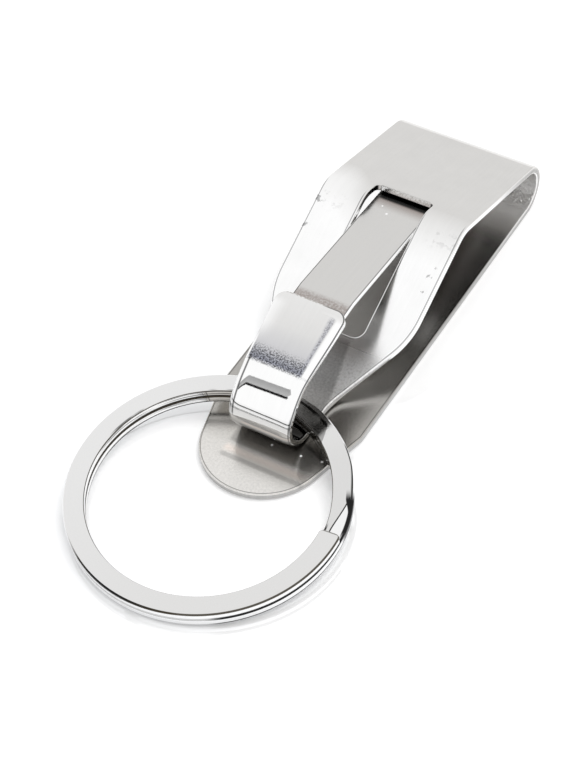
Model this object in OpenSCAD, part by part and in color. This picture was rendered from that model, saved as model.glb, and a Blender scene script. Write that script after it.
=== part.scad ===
// Belt key clip: one bent spring strip with a hook, a spring gate that closes the hook, and a split ring.
// Frame: +Z up, lying on the back plate. X is across the strip and Y runs towards the U-bend.
// The origin is on the back face, at the middle of the plate's round end.

/* [Strip] */
// Width of the strip
strip_w = 18.2; // [15:0.1:22]
// Thickness of the strip
strip_t = 0.9; // [0.7:0.05:1.1]
// From the middle of the round end to the start of the U-bend
plate_len = 45.5; // [42:0.5:60]
// How much less than half the strip's width the round end's radius is
end_inset = 1.6; // [0.5:0.1:2]
// Length over which the plate narrows towards its round end
end_taper_len = 5.5; // [3:0.5:8]

/* [U-bend and front leg] */
// Inside radius of the U-bend
bend_r = 2.55; // [2:0.05:3.2]
// Angle at which the front leg rises away from the plate
leg_rise_deg = 16.5; // [14:0.5:19]
// Length of the leg's flat, from the U-bend to the corner of the crease
flat_len = 17.1; // [16:0.1:19]
// Inside radius of the crease
crease_r = 2.8; // [1.5:0.1:4]
// Angle at which the leg falls back towards the plate
leg_fall_deg = 24.25; // [22:0.25:27]
// Inside radius of the bend where the falling leg turns into the neck
toe_r = 5.5; // [3:0.1:7]
// Gap that the belt is pushed through, between the neck and the plate
neck_gap = 0.15; // [0.1:0.01:0.4]
// Length over which the leg's outline narrows to the neck
leg_taper_len = 9; // [7:0.1:10]
// Radius of the leg's shoulders in plan
shoulder_r = 9; // [4:0.5:10]
// Radius where the tapering sides meet the neck in plan
neck_side_r = 6; // [2:0.5:8]

/* [Hook] */
// Width of the neck and of the hook's curl
hook_w = 7.8; // [7:0.1:9]
// Width of the hook's leaf at its tip
tip_w = 9; // [8:0.1:10]
// Straight length of the neck, from the toe's corner to the curl
neck_len = 5.9; // [5.5:0.1:7]
// Inside radius of the hook's curl
curl_r = 2.8; // [2.6:0.05:3.2]
// Angle at which the curl runs out into the soft bend of the leaf
curl_end_deg = 52; // [48:1:56]
// Inside radius of the soft bend between the curl and the leaf
leaf_bend_r = 8.35; // [7:0.05:9.5]
// Angle at which the hook's leaf rises
leaf_rise_deg = 17; // [15:0.5:19]
// Straight length of the leaf, from the soft bend to its tip
leaf_len = 8; // [7.5:0.1:8.5]
// Corner radius of the leaf's tip
tip_r = 1.4; // [0.5:0.1:2]
// Radius where the leaf starts to widen
leaf_side_r = 8; // [4:1:12]

/* [Window] */
// Width of the window in the front leg
window_w = 7.4; // [6.6:0.1:8]
// How far the window reaches past the crease, into the flat
window_reach = 2.6; // [1.5:0.1:3.5]
// Length of the window along Y
window_len = 17.4; // [15:0.1:19]
// Corner radius at the window's crease end
window_top_r = 0.6; // [0.3:0.1:1.5]
// Corner radius at the window's hook end
window_foot_r = 1.2; // [0.5:0.1:2]

/* [Gate tongue] */
// Thickness of the gate's spring strip
gate_t = 0.45; // [0.3:0.05:0.6]
// Gap between the gate and each side of the window
gate_side_gap = 0.2; // [0.1:0.05:0.4]
// How far the gate's welded pad starts from the U-bend
pad_setback = 1.5; // [0.5:0.1:2.5]
// How far behind the window's edge the gate leaves the leg
pad_inset = 1.1; // [0.6:0.1:1.5]
// How far the gate's bend stands before the hook's tip
gate_lead = 2.6; // [2:0.1:3]
// How far the gate's bend lies below the hook's tip
gate_step = 1.45; // [1.2:0.05:1.8]
// Length of the gate's flange that is tucked under the leaf
tuck_len = 2; // [1.2:0.1:2.5]
// Inside radius of the gate's bends
gate_bend_r = 1.2; // [0.6:0.1:2]
// Diameter of each spot-weld mark
weld_d = 1.8; // [1.2:0.1:2.4]
// Depth of each spot-weld mark
weld_depth = 0.12; // [0.05:0.01:0.2]
// Distance between the two spot-weld marks
weld_pitch = 4.4; // [3.5:0.1:5.5]

/* [Key ring] */
// Outside diameter of the split ring
ring_od = 31.8; // [28:0.2:36]
// Radial width of the ring's flat wire
wire_w = 2.4; // [2:0.1:2.8]
// Height of the ring's flat wire
wire_h = 1; // [0.8:0.05:1.2]
// Bevel on the wire's edges
wire_bevel = 0.16; // [0.05:0.01:0.25]
// How far to one side of the clip's middle the ring lies
ring_shift = 1; // [0:0.05:2]
// How far into the loop the ring's edge reaches, measured from the curl's middle
ring_depth = 3.1; // [2.8:0.05:3.3]
// Angle round the ring at which its upper turn is cut off
cut_deg = 5; // [-10:1:20]
// Angle over which the wire steps down from its upper turn to its lower one
ramp_deg = 30; // [26:2:60]
// Angle of the gap between a cut end and the ramp
end_gap_deg = 4; // [3:0.5:8]

/* [Clearances] */
// Gap at a welded or touching face
seat_gap = 0.02; // [0.01:0.01:0.05]
// Gap between the tucked flange and the leaf
gate_gap = 0.1; // [0.06:0.01:0.2]
// Gap between the ring's two turns
turn_gap = 0.04; // [0.02:0.01:0.08]
// Gap between the lying ring and the neck under it
ring_gap = 0.15; // [0.1:0.05:0.3]

/* [Hidden] */

// One overrun for every cut, and the angle of one step along a rounded stretch
overrun = 1;
arc_step = 4;
ring_step = 5;

// Plain directions and places, worked out from the sizes above
function dir(a) = [cos(a), sin(a)];
function heading(a, b) = atan2(b[1] - a[1], b[0] - a[0]);
function wrap(d) = d > 180 ? d - 360 : d < -180 ? d + 360 : d;
function reversed(list) = [for (i = [len(list) - 1:-1:0]) list[i]];
function left(p, gap) = [p[0], p[1]] + gap * dir(p[2] + 90);

// A rounded corner at p, as points that each carry their heading
function corner(a, p, b, r) =
    let (h = heading(a, p), d = wrap(heading(p, b) - h), s = sign(d))
    let (start = p - r * tan(abs(d) / 2) * dir(h), middle = start + r * dir(h + 90 * s))
    let (n = max(1, ceil(abs(d) / arc_step)))
    [for (i = [0:n]) concat(middle - r * dir(h + d * i / n + 90 * s), h + d * i / n)];

// A path through the points, with a rounded corner at each inner one
function path(points, radii) =
    let (last = len(points) - 1)
    concat(
        [concat(points[0], heading(points[0], points[1]))],
        [for (i = [1:last - 1]) each corner(points[i - 1], points[i], points[i + 1], radii[i - 1])],
        [concat(points[last], heading(points[last - 1], points[last]))]);

// The sheet's section along a path: a band of thickness t about its middle line
function band(way, t) = concat(
    [for (p = way) left(p, t / 2)],
    reversed([for (p = way) left(p, -t / 2)]));

// A closed outline whose corners are rounded by their own radii
function rounded(points, radii) =
    let (n = len(points))
    [for (i = [0:n - 1])
        each radii[i] > 0
            ? [for (q = corner(points[(i + n - 1) % n], points[i], points[(i + 1) % n], radii[i])) [q[0], q[1]]]
            : [points[i]]];

// Mirrors an outline's right side to make the whole outline
function both_sides(right) = concat(right, reversed([for (p = right) [-p[0], p[1]]]));

// The strip's middle line, as corners in the YZ plane
half_w = strip_w / 2;
plate_end_r = half_w - end_inset;
bend_mid_r = bend_r + strip_t / 2;
apex_y = plate_len + bend_mid_r;
mid_z = strip_t / 2;
apex_z = mid_z + bend_mid_r;
rise_heading = 180 - leg_rise_deg;
fall_heading = 180 + leg_fall_deg;
flat_start = [plate_len, apex_z] + bend_mid_r * dir(rise_heading - 90);
bend_corner = flat_start - bend_mid_r * tan((90 - leg_rise_deg) / 2) * dir(rise_heading);
crease = flat_start + flat_len * dir(rise_heading);
neck_z = strip_t + neck_gap + strip_t / 2;
toe = [crease[0] - (crease[1] - neck_z) / tan(leg_fall_deg), neck_z];
curl_mid_r = curl_r + strip_t / 2;
curl_y = toe[0] - neck_len;
curl_z = neck_z + curl_mid_r;
curl_turn = 180 - curl_end_deg;
curl_back = curl_mid_r * tan(curl_turn / 4);
curl_low = [curl_y - curl_back, neck_z];
curl_high = curl_low + 2 * curl_back * dir(180 - curl_turn / 2);
leaf_bend_mid_r = leaf_bend_r + strip_t / 2;
leaf_back = leaf_bend_mid_r * tan((curl_end_deg - leaf_rise_deg) / 2);
leaf_corner = curl_high + (curl_back + leaf_back) * dir(curl_end_deg);
tip = leaf_corner + (leaf_back + leaf_len) * dir(leaf_rise_deg);

bend_half_r = bend_mid_r - seat_gap;
plate_way = path([[-plate_end_r - overrun, mid_z], [apex_y, mid_z], [apex_y, apex_z - seat_gap / 2]], [bend_half_r]);
leg_way = path(
    [[apex_y, apex_z + seat_gap / 2], bend_corner, crease, toe, curl_low, curl_high, leaf_corner, tip],
    [bend_half_r, crease_r + strip_t / 2, toe_r + strip_t / 2, curl_mid_r, curl_mid_r, leaf_bend_mid_r]);

// The gate's middle line: along the leg's underside, out through the window and under the hook's tip
under_leg = strip_t / 2 + seat_gap + gate_t / 2;
window_top = crease[0] + window_reach;
window_foot = window_top - window_len;
pad_start = flat_start + pad_setback * dir(rise_heading) + under_leg * dir(rise_heading + 90);
fold_y = window_top + pad_inset;
fold = pad_start + (pad_start[0] - fold_y) / cos(leg_rise_deg) * dir(rise_heading);
tip_top = tip + strip_t / 2 * dir(leaf_rise_deg + 90);
gate_bend = [tip_top[0] + gate_lead, tip_top[1] - gate_step];
tuck = tip - tuck_len * dir(leaf_rise_deg) - (strip_t / 2 + gate_gap + gate_t / 2) * dir(leaf_rise_deg + 90);
gate_way = path([pad_start, fold, gate_bend, tuck], [gate_bend_r + gate_t / 2, gate_bend_r + gate_t / 2]);
gate_w = window_w - 2 * gate_side_gap;
pad_len = norm(fold - pad_start);
weld_at = pad_start + pad_len / 2 * dir(rise_heading);

// The leg's plan outline
top_z = tip_top[1] + strip_t;
hook_half_w = hook_w / 2;
leg_right = [
    [hook_half_w, curl_y - curl_mid_r - strip_t],
    [hook_half_w, toe[0] - strip_t / 2],
    [half_w, toe[0] - strip_t / 2 + leg_taper_len],
    [half_w, apex_y + strip_t]];
leg_radii = [0, neck_side_r, shoulder_r, 0];
leaf_zone = [curl_y, tip_top[0] + strip_t];
leaf_low = curl_z + curl_mid_r / 2;

// The ring leans from the surface it lies on up to the neck
ring_r = ring_od / 2;
ring_half_h = wire_h + turn_gap / 2;
ring_y = curl_y + ring_depth - ring_r;
neck_top = neck_z + strip_t / 2 + ring_gap;
ring_lean = asin(neck_top / (2 * ring_r - wire_w));
ring_z = ring_r * sin(ring_lean) + ring_half_h * cos(ring_lean);
turned_deg = 360 - end_gap_deg - ramp_deg;
whole_deg = 2 * turned_deg + ramp_deg;

// Sheet of width w along a path, as a solid across X
module sheet(way, t, w) {
    translate([-w / 2, 0, 0])
        rotate([90, 0, 90])
            linear_extrude(w)
                polygon(band(way, t));
}

// A plan outline as a tall prism
module tall(points) {
    translate([0, 0, -overrun])
        linear_extrude(top_z + 2 * overrun)
            polygon(points);
}

// The plate's outline: a round end, sides that flare to the strip's width, and the strip
module plate_outline() {
    flare = norm([half_w, end_taper_len]);
    touch = atan2(end_taper_len, half_w) - acos(plate_end_r / flare);
    steps = ceil((touch + 90) / arc_step);
    arc = [for (i = [1:steps]) plate_end_r * dir(-90 + (touch + 90) * i / steps)];
    right = concat(arc, [[half_w, end_taper_len], [half_w, apex_y + strip_t + overrun]]);
    tall(concat(both_sides(right), [[0, -plate_end_r]]));
}

// A plan outline as a prism that starts above the neck and takes in the hook's leaf
module above_neck(points) {
    translate([0, 0, leaf_low])
        linear_extrude(top_z)
            polygon(points);
}

// The leg's plan outline, with the leaf's own outline where the leaf stands over the neck
module leg_outline() {
    far = half_w + overrun;
    leaf = [[hook_half_w, leaf_zone[0] - overrun], [hook_half_w, leaf_zone[0]], [tip_w / 2, tip_top[0]]];
    difference() {
        tall(rounded(both_sides(leg_right), concat(leg_radii, reversed(leg_radii))));
        above_neck(both_sides([[far, leaf_zone[0]], [far, leaf_zone[1]]]));
    }
    above_neck(rounded(both_sides(leaf), [0, leaf_side_r, tip_r, tip_r, leaf_side_r, 0]));
}

module window_cut() {
    right = [[window_w / 2, window_foot], [window_w / 2, window_top]];
    tall(rounded(both_sides(right), [window_foot_r, window_top_r, window_top_r, window_foot_r]));
}

module back_plate() {
    color("gainsboro")
        intersection() {
            sheet(plate_way, strip_t, strip_w);
            plate_outline();
        }
}

module front_leg() {
    color("silver")
        difference() {
            intersection() {
                sheet(leg_way, strip_t, strip_w);
                leg_outline();
            }
            window_cut();
        }
}

module gate_tongue() {
    color("lightgray")
        difference() {
            sheet(gate_way, gate_t, gate_w);
            for (side = [-1, 1])
                translate([0, weld_at[0], weld_at[1]])
                    rotate([-leg_rise_deg, 0, 0])
                        translate([side * weld_pitch / 2, 0, -gate_t / 2 - overrun])
                            cylinder(h = overrun + weld_depth, d = weld_d, $fn = 48);
        }
}

// Height of the wire's middle after it has turned a degrees from its upper cut end
function turn_z(a) =
    let (drop = wire_h + turn_gap, share = max(0, min(1, (a - turned_deg) / ramp_deg)))
    drop / 2 - drop * (1 - cos(180 * share)) / 2;

// The wire's section: a flat rectangle with bevelled edges, as steps outwards and upwards
wire_section = let (x = wire_w / 2, z = wire_h / 2, b = wire_bevel)
    [[x, b - z], [x, z - b], [x - b, z], [b - x, z], [-x, z - b], [-x, b - z], [b - x, -z], [x - b, -z]];

module split_ring() {
    turns = ceil(whole_deg / ring_step);
    sides = len(wire_section);
    points = [for (i = [0:turns])
        let (a = whole_deg * i / turns, out = dir(cut_deg - a))
        for (p = wire_section)
            let (r = ring_r - wire_w / 2 + p[0])
            [r * out[0], r * out[1], turn_z(a) + p[1]]];
    skin = [for (i = [0:turns - 1], j = [0:sides - 1])
        let (a = i * sides + j, b = i * sides + (j + 1) % sides)
        each [[a, b + sides, b], [a, a + sides, b + sides]]];
    first = [for (j = [0:sides - 1]) j];
    last = [for (j = [sides - 1:-1:0]) turns * sides + j];
    polyhedron(points, concat(skin, [first, last]));
}

module key_ring() {
    color("whitesmoke")
        translate([-ring_shift, ring_y, ring_z])
            rotate([ring_lean, 0, 0])
                split_ring();
}

back_plate();
front_leg();
gate_tongue();
key_ring();
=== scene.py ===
import math
from bisect import bisect_right
from functools import reduce

import bpy
import numpy as np
from mathutils import Matrix, Vector
from mathutils.geometry import delaunay_2d_cdt


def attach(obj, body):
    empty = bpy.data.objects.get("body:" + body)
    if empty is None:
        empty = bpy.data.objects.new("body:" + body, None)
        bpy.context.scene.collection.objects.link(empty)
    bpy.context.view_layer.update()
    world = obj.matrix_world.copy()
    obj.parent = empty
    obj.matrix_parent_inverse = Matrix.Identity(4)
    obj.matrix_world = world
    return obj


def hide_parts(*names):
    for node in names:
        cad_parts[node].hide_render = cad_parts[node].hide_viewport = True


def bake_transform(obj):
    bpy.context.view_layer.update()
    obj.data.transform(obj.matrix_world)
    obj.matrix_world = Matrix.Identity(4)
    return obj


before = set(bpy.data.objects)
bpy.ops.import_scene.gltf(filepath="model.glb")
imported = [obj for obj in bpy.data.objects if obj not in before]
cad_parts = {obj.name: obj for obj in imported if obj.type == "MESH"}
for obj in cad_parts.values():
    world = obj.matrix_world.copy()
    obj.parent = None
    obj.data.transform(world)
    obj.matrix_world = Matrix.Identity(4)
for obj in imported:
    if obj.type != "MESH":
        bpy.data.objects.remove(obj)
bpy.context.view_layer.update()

# Sizes are in millimetres and angles in degrees, as in the part's source. MM turns a size into Blender's metres.
MM = 0.001

# The strip, its U-bend and its hook
STRIP_W, STRIP_T = 18.2, 0.9
PLATE_LEN, END_INSET, END_TAPER_LEN = 45.5, 1.6, 5.5
BEND_R, LEG_RISE, FLAT_LEN = 2.55, 16.5, 17.1
CREASE_R, LEG_FALL, TOE_R, NECK_GAP = 2.8, 24.25, 5.5, 0.15
LEG_TAPER_LEN, SHOULDER_R, NECK_SIDE_R = 9.0, 9.0, 6.0
HOOK_W, TIP_W, NECK_LEN, CURL_R, CURL_END = 7.8, 9.0, 5.9, 2.8, 52.0
LEAF_BEND_R, LEAF_RISE, LEAF_LEN, TIP_R, LEAF_SIDE_R = 8.35, 17.0, 8.0, 1.4, 8.0

# The window and the gate
WINDOW_W, WINDOW_REACH, WINDOW_LEN = 7.4, 2.6, 17.4
WINDOW_TOP_R, WINDOW_FOOT_R = 0.6, 1.2
GATE_T, GATE_SIDE_GAP, PAD_SETBACK, PAD_INSET = 0.45, 0.2, 1.5, 1.1
GATE_LEAD, GATE_STEP, TUCK_LEN, GATE_BEND_R = 2.6, 1.45, 2.0, 1.2
SEAT_GAP, GATE_GAP = 0.02, 0.1

# The split ring
RING_OD, WIRE_W, WIRE_H = 31.8, 2.4, 1.0
RING_SHIFT, RING_DEPTH, TURN_GAP, RING_GAP = 1.0, 3.1, 0.04, 0.15
CUT, RAMP, END_GAP = 5.0, 30.0, 4.0
WIRE_EDGE_R, GROUND_EDGE_R, RAW_EDGE_R = 0.17, 0.26, 0.46
CUT_CORNER_R, CUT_EDGE_R = 0.5, 0.08

# How far each edge is rounded: its width over the face and its depth into the sheet
SHARP_EDGE = (0.16, 0.12)
SOFT_EDGE = (0.26, 0.2)
LEAF_CROWN = (1.4, 0.32)
GATE_UNDER_EDGE = (0.06, 0.05)
GATE_FACE_EDGE = (0.16, 0.3)

# Where the meshes get rows of points: along their straights, inset from their edges, and in columns on their faces
STRAIGHT_STEP = 2.0
EDGE_INSETS = (0.0, 0.015, 0.05, 0.1, 0.16, 0.22, 0.3)
CROWN_INSETS = (0.45, 0.65, 0.85, 1.1, 1.35)
GATE_INSETS = (0.0, 0.006, 0.02, 0.05, 0.09, 0.13, 0.16, 0.24, 0.32)
CUT_INSETS = (0.0, 0.012, 0.04, 0.08, 0.14, 0.22, 0.34, CUT_CORNER_R)
STRIP_COLUMNS, GATE_COLUMNS = (-6.0, -3.0, 0.0, 3.0, 6.0), (-1.5, 1.5)

# The photograph's camera
CAM_TARGET, CAM_DISTANCE = (-2.622, 9.135, 0.0), 284.7
CAM_AZIMUTH, CAM_ELEVATION, CAM_ROLL = 34.687, 48.717, -5.357
CAM_SENSOR, CAM_LENS = 36.0, 117.63

azimuth = math.radians(CAM_AZIMUTH)
towards_camera = Vector((math.sin(azimuth), -math.cos(azimuth), 0))
across_view = Vector((math.cos(azimuth), math.sin(azimuth), 0))

# The studio, in metres: a floor, a lamp overhead, and cards that only the metal's reflections see
FLOOR_SPAN, FLOOR_Z = 0.25, -0.00002
LAMP_PLACE, LAMP_AIM, LAMP_SIZE, LAMP_POWER = (0.1, 0.15, 0.5), (0, 0.01, 0), 0.35, 1.6
CEILING = 3.0
HORIZON_R, HORIZON_H, HORIZON_GLOW = 1.45, 0.1, 0.1


def unit(angle):
    """The direction at that angle from the first axis of its plane."""
    return Vector((math.cos(math.radians(angle)), math.sin(math.radians(angle))))


def heading(a, b):
    return math.degrees(math.atan2(b[1] - a[1], b[0] - a[0]))


def corner(before, p, after, radius):
    """A rounded corner: where its arc starts, the heading there, how far it turns, and its cut from each side."""
    way = heading(before, p)
    turn = (heading(p, after) - way + 180) % 360 - 180
    back = radius * math.tan(math.radians(abs(turn)) / 2)
    return p - back * unit(way), way, turn, back


def smooth(low, high, value):
    share = min(1.0, max(0.0, (value - low) / (high - low)))
    return share * share * (3 - 2 * share)


# ---- The middle line of a bent sheet ----

class Track:
    """A middle line in the YZ plane: straight runs joined by arcs, measured by the distance along it."""

    def __init__(self, corners, radii):
        corners = [Vector(c) for c in corners]
        here, self.runs = corners[0], []
        for i, radius in enumerate(radii, start=1):
            start, way, turn, back = corner(*corners[i - 1:i + 2], radius)
            self.runs.append((here, way, (start - here).length, 0.0))
            self.runs.append((start, way, radius * math.radians(abs(turn)), turn))
            here = corners[i] + back * unit(way + turn)
        self.runs.append((here, heading(corners[-2], corners[-1]), (corners[-1] - here).length, 0.0))
        self.starts = [0.0]
        for run in self.runs:
            self.starts.append(self.starts[-1] + run[2])
        self.length = self.starts[-1]

    def at(self, s):
        """The point and the heading at distance s. The ends run on straight."""
        i = min(len(self.runs), max(1, bisect_right(self.starts, s))) - 1
        start, way, length, turn = self.runs[i]
        along = float(s) - self.starts[i]
        if turn == 0:
            return start + along * unit(way), way
        radius, side = length / math.radians(abs(turn)), math.copysign(90, turn)
        now = way + turn * along / length
        return start + radius * (unit(way + side) - unit(now + side)), now

    def where(self, y, low, high):
        """The distance between low and high at which the line is at y."""
        rising = self.at(high)[0][0] > self.at(low)[0][0]
        for _ in range(40):
            middle = (low + high) / 2
            if (self.at(middle)[0][0] < y) == rising:
                low = middle
            else:
                high = middle
        return (low + high) / 2

    def rows(self, low, high, arc_step):
        """Distances at which the sheet gets a row of points: close together in the bends, by their step in degrees."""
        rows = [low, high]
        for start, (_, _, length, turn) in zip(self.starts, self.runs):
            count = max(1, math.ceil(length / STRAIGHT_STEP if turn == 0 else abs(turn) / arc_step))
            rows += [start + length * i / count for i in range(count + 1)]
        kept = []
        for row in sorted(r for r in rows if low <= r <= high):
            if not kept or row - kept[-1] > 1e-4:
                kept.append(row)
        return kept


# ---- Outlines in the flat ----

def rounded(points, radii, step=6.0):
    """An outline with each corner rounded by its own radius."""
    points, out = [Vector(p) for p in points], []
    for i, (p, radius) in enumerate(zip(points, radii)):
        if radius == 0:
            out.append(p)
            continue
        start, way, turn, _ = corner(points[i - 1], p, points[(i + 1) % len(points)], radius)
        side = math.copysign(90, turn)
        middle = start + radius * unit(way + side)
        count = max(1, math.ceil(abs(turn) / step))
        out += [middle - radius * unit(way + turn * j / count + side) for j in range(count + 1)]
    return out


def both_sides(right):
    return list(right) + [Vector((-p[0], p[1])) for p in reversed(right)]


class Outline:
    """A closed outline, with points at most the spacing apart. A hole's outward direction points into it."""

    def __init__(self, points, spacing, hole=False):
        points = [Vector(p) for p in points]
        dense = []
        for a, b in zip(points, points[1:] + points[:1]):
            count = max(1, math.ceil((b - a).length / spacing))
            dense += [a + (b - a) * i / count for i in range(count)]
        self.points = np.array([tuple(p) for p in dense])
        area = np.sum(self.points[:, 0] * np.roll(self.points[:, 1], -1)
                      - np.roll(self.points[:, 0], -1) * self.points[:, 1])
        if area < 0:
            self.points = self.points[::-1].copy()
        self.along = np.roll(self.points, -1, 0) - self.points
        self.lengths = np.linalg.norm(self.along, axis=1)
        ways = self.along / self.lengths[:, None]
        side = -1.0 if hole else 1.0
        self.edge_out = side * np.stack([ways[:, 1], -ways[:, 0]], 1)
        both = self.edge_out + np.roll(self.edge_out, 1, 0)
        self.corner_out = both / np.linalg.norm(both, axis=1)[:, None]
        self.stretch = 1 / np.maximum(0.3, np.sum(self.corner_out * self.edge_out, 1))

    def inset(self, distance):
        return self.points - self.corner_out * (distance * self.stretch)[:, None]

    def near(self, p):
        """Distance from p to the outline, and the smoothed outward direction of its nearest place."""
        rel = p[None] - self.points
        share = np.clip(np.sum(rel * self.along, 1) / self.lengths ** 2, 0, 1)
        gaps = np.linalg.norm(rel - share[:, None] * self.along, axis=1)
        i = int(np.argmin(gaps))
        out = (1 - share[i]) * self.corner_out[i] + share[i] * self.corner_out[(i + 1) % len(self.points)]
        return float(gaps[i]), out / np.linalg.norm(out)

    def inside(self, p):
        a, b = self.points, np.roll(self.points, -1, 0)
        crosses = (a[:, 1] > p[1]) != (b[:, 1] > p[1])
        with np.errstate(divide="ignore", invalid="ignore"):
            x = a[:, 0] + (p[1] - a[:, 1]) * (b[:, 0] - a[:, 0]) / (b[:, 1] - a[:, 1])
        return bool(np.sum(crosses & (p[0] < x)) % 2)


# ---- Meshes with their own normals ----

def placed(name, data):
    obj = bpy.data.objects.new(name, data)
    bpy.context.scene.collection.objects.link(obj)
    return obj


def mesh_object(name, points, normals, faces, uv_sets, material):
    """A mesh in metres from points in millimetres, with smooth normals of its own and named UV sets."""
    mesh = bpy.data.meshes.new(name)
    mesh.from_pydata([Vector(p) * MM for p in points], [], faces)
    for uv_name, values in uv_sets.items():
        layer = mesh.uv_layers.new(name=uv_name)
        for loop in mesh.loops:
            layer.data[loop.index].uv = values[loop.vertex_index]
    mesh.polygons.foreach_set("use_smooth", [True] * len(mesh.polygons))
    mesh.normals_split_custom_set_from_vertices([tuple(n) for n in normals])
    mesh.materials.append(material)
    return placed(name, mesh)


def bent_sheet(name, track, thickness, outline, holes, span, edge, material, insets, columns, arc_step=4.0):
    """A sheet cut to an outline in the flat and bent along a track, with every edge rounded over.

    The outline is in (x, s) and may run past the span, which cuts it off. edge(s, left) gives the rounding's width
    and depth. UV set "flat" is (x, s), and "edge" is the distance from the edge and the side: 1 left of the track."""
    loops = [outline] + holes
    wide = max(abs(outline.points[:, 0])) + 1
    points, edges = [], []
    for loop in loops:
        for distance in insets:
            first, ring = len(points), loop.inset(distance)
            points += [Vector(p) for p in ring]
            edges += [(first + i, first + (i + 1) % len(ring)) for i in range(len(ring))]
    for s in track.rows(*span, arc_step):
        edges.append((len(points), len(points) + 1))
        points += [Vector((-wide, s)), Vector((wide, s))]
    for x in columns:
        edges.append((len(points), len(points) + 1))
        points += [Vector((x, span[0])), Vector((x, span[1]))]
    flat, _, triangles, _, _, _ = delaunay_2d_cdt(points, edges, [], 0, 1e-5)

    kept = []
    for triangle in triangles:
        middle = np.array(sum((flat[i] for i in triangle), Vector((0, 0))) / 3)
        if (span[0] < middle[1] < span[1] and outline.inside(middle)
                and not any(hole.inside(middle) for hole in holes)):
            kept.append(tuple(triangle))
    used = sorted({i for triangle in kept for i in triangle})
    place = {old: new for new, old in enumerate(used)}
    kept = [tuple(place[i] for i in triangle) for triangle in kept]
    count = len(used)

    co, normals, flat_uv, edge_uv, rims = [], [], [], [], []
    for left in (True, False):
        for old in used:
            p = np.array(flat[old])
            gap, out = min((loop.near(p) for loop in loops), key=lambda found: found[0])
            on_rim = gap < 1e-3
            width, depth = edge(p[1], left)
            u = 1.0 if on_rim else max(0.0, 1 - gap / width)
            height = thickness / 2 - depth * (1 - math.sqrt(1 - u * u))
            tilt = math.pi / 2 if on_rim else math.atan(depth * u / (width * math.sqrt(1 - u * u)))
            (y, z), way = track.at(p[1])
            up, ahead = unit(way + 90), unit(way)
            side = 1 if left else -1
            co.append((p[0], y + side * height * up[0], z + side * height * up[1]))
            n, t = math.cos(tilt) * side, math.sin(tilt)
            normals.append((t * out[0], n * up[0] + t * out[1] * ahead[0], n * up[1] + t * out[1] * ahead[1]))
            flat_uv.append((p[0] * MM, p[1] * MM))
            edge_uv.append((gap * MM, 1.0 if left else 0.0))
            rims.append(on_rim)

    # Faces of the two sides turn opposite ways, and the rim joins them
    faces, sides = [], {}
    for a, b, c in kept:
        pa, pb, pc = flat[used[a]], flat[used[b]], flat[used[c]]
        if (pb - pa).cross(pc - pa) < 0:
            b, c = c, b
        faces.append((a, b, c))
        faces.append((a + count, c + count, b + count))
        sides |= dict.fromkeys(((a, b), (b, c), (c, a)))
    for i, j in sides:
        if (j, i) not in sides and rims[i] and rims[j]:
            faces.append((i + count, j + count, j, i))
    return mesh_object(name, co, normals, faces, {"flat": flat_uv, "edge": edge_uv}, material)


# ---- Node materials ----

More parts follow.
